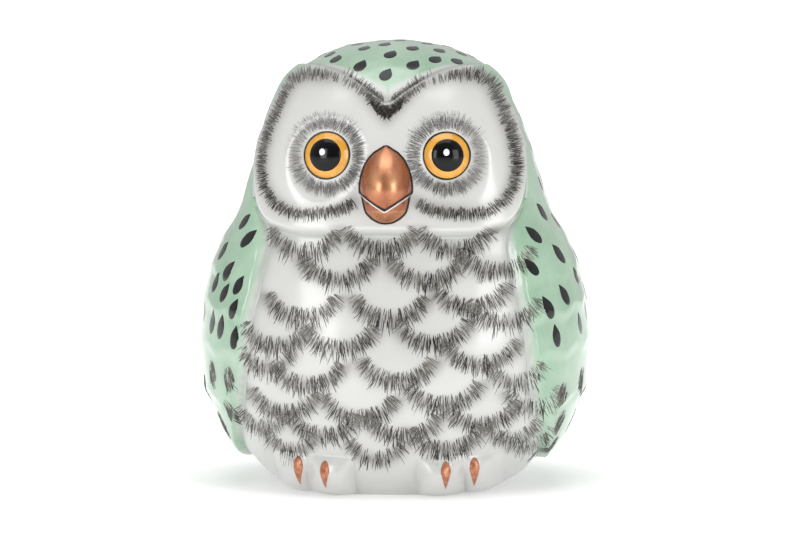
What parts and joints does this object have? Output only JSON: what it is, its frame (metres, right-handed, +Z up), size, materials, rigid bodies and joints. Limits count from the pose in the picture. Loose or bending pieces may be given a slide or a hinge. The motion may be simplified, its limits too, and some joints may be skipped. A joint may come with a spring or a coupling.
{
  "type": "coin bank",
  "caption": "Owl-shaped glazed ceramic coin bank with a coin slot in the nape and a soft pull-out stopper in the base.",
  "frame": {"origin": "middle of the bounding box in plan, on the table plane under the foot ring", "axes": "+Z up; -Y the way the owl faces; +X towards the owl's left wing"},
  "size_m": [0.1494, 0.1323, 0.17],
  "materials": {
    "glaze_white": "pearly gloss glaze",
    "glaze_green": "pearly gloss glaze",
    "glaze_amber": "gloss",
    "glaze_black": "gloss",
    "lustre_copper": "metallic lustre over gloss glaze",
    "stopper_rubber": "matt"
  },
  "bodies": {
    "bank": {"body_shell": "glaze_white", "hood": "glaze_green", "back_mantle": "glaze_green", "tail": "glaze_green", "left_wing": "glaze_green", "right_wing": "glaze_green", "face_disc": "glaze_white", "left_iris": "glaze_amber", "right_iris": "glaze_amber", "left_pupil": "glaze_black", "right_pupil": "glaze_black", "upper_beak": "lustre_copper", "lower_beak": "lustre_copper", "left_foot": "glaze_white", "right_foot": "glaze_white", "claws": "lustre_copper"},
    "stopper": {"stopper": "stopper_rubber"}
  },
  "joints": [
    {"name": "stopper_pull", "type": "slide", "parent": "bank", "child": "stopper", "axis": [0, 0, -1], "range_m": [0, 0.03]}
  ]
}
